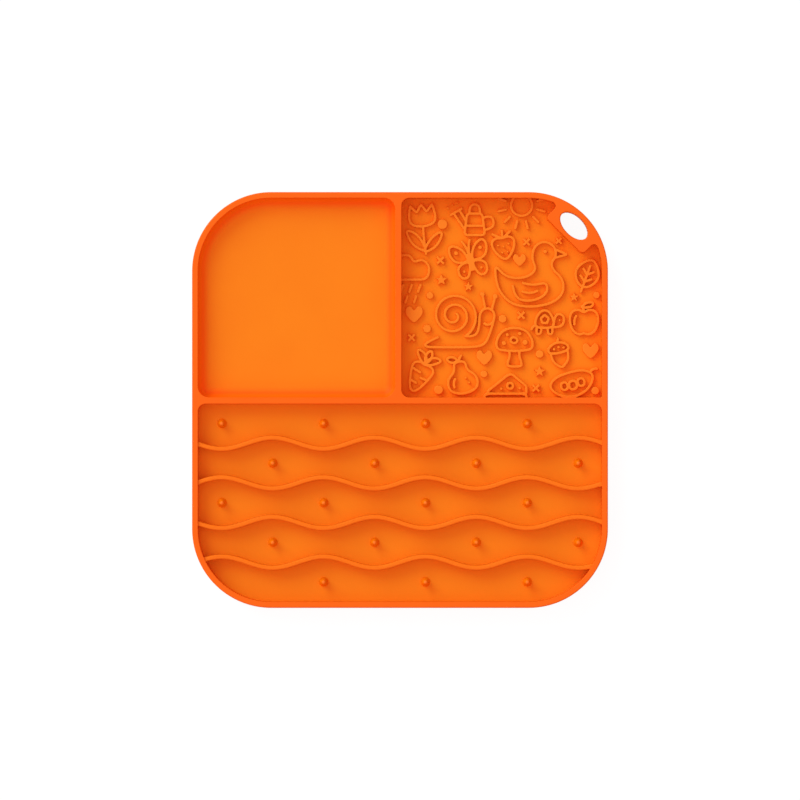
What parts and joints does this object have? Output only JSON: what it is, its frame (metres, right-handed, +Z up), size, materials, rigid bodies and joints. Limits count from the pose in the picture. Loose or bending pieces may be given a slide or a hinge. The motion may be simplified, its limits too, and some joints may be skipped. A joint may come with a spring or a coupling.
{
  "type": "lick mat",
  "caption": "Square silicone pet lick mat with a smooth tray, a line-relief pocket, a field of wave ridges and nubs, an oval hanging eye and suction cups underneath.",
  "frame": {"origin": "middle of the mat, in the plane that the suction cups' lips stand on", "axes": "+Z up out of the open face, +Y from the ridge field towards the tray and the hanging eye, +X towards the eye's side"},
  "size_m": [0.2, 0.2, 0.013],
  "materials": {
    "wall_silicone": "matte moulded silicone",
    "floor_silicone": "matte moulded silicone",
    "ridge_silicone": "matte moulded silicone",
    "relief_silicone": "matte moulded silicone",
    "cup_silicone": "smooth moulded silicone"
  },
  "bodies": {
    "root": {"base_sheet": "floor_silicone", "outer_rim": "wall_silicone", "hanging_tab": "wall_silicone", "cross_wall": "wall_silicone", "short_wall": "wall_silicone", "tray_cove": "floor_silicone", "wave_ridge_1": "ridge_silicone", "wave_ridge_2": "ridge_silicone", "wave_ridge_3": "ridge_silicone", "wave_ridge_4": "ridge_silicone", "nub_row_1": "ridge_silicone", "nub_row_2": "ridge_silicone", "nub_row_3": "ridge_silicone", "nub_row_4": "ridge_silicone", "nub_row_5": "ridge_silicone", "relief_duck": "relief_silicone", "relief_snail": "relief_silicone", "relief_mushroom": "relief_silicone", "relief_carrot": "relief_silicone", "relief_apple": "relief_silicone", "relief_pear": "relief_silicone", "relief_tulip": "relief_silicone", "relief_butterfly": "relief_silicone", "relief_leaf": "relief_silicone", "relief_acorn": "relief_silicone", "relief_cloud": "relief_silicone", "relief_sun": "relief_silicone", "relief_cheese": "relief_silicone", "relief_pea_pod": "relief_silicone", "relief_watering_can": "relief_silicone", "relief_turtle": "relief_silicone", "relief_strawberry": "relief_silicone", "relief_hearts": "relief_silicone", "relief_stars": "relief_silicone", "relief_crosses": "relief_silicone", "relief_dots": "relief_silicone", "suction_cups_1": "cup_silicone", "suction_cups_2": "cup_silicone", "suction_cups_3": "cup_silicone", "suction_cups_4": "cup_silicone"}
  },
  "joints": []
}
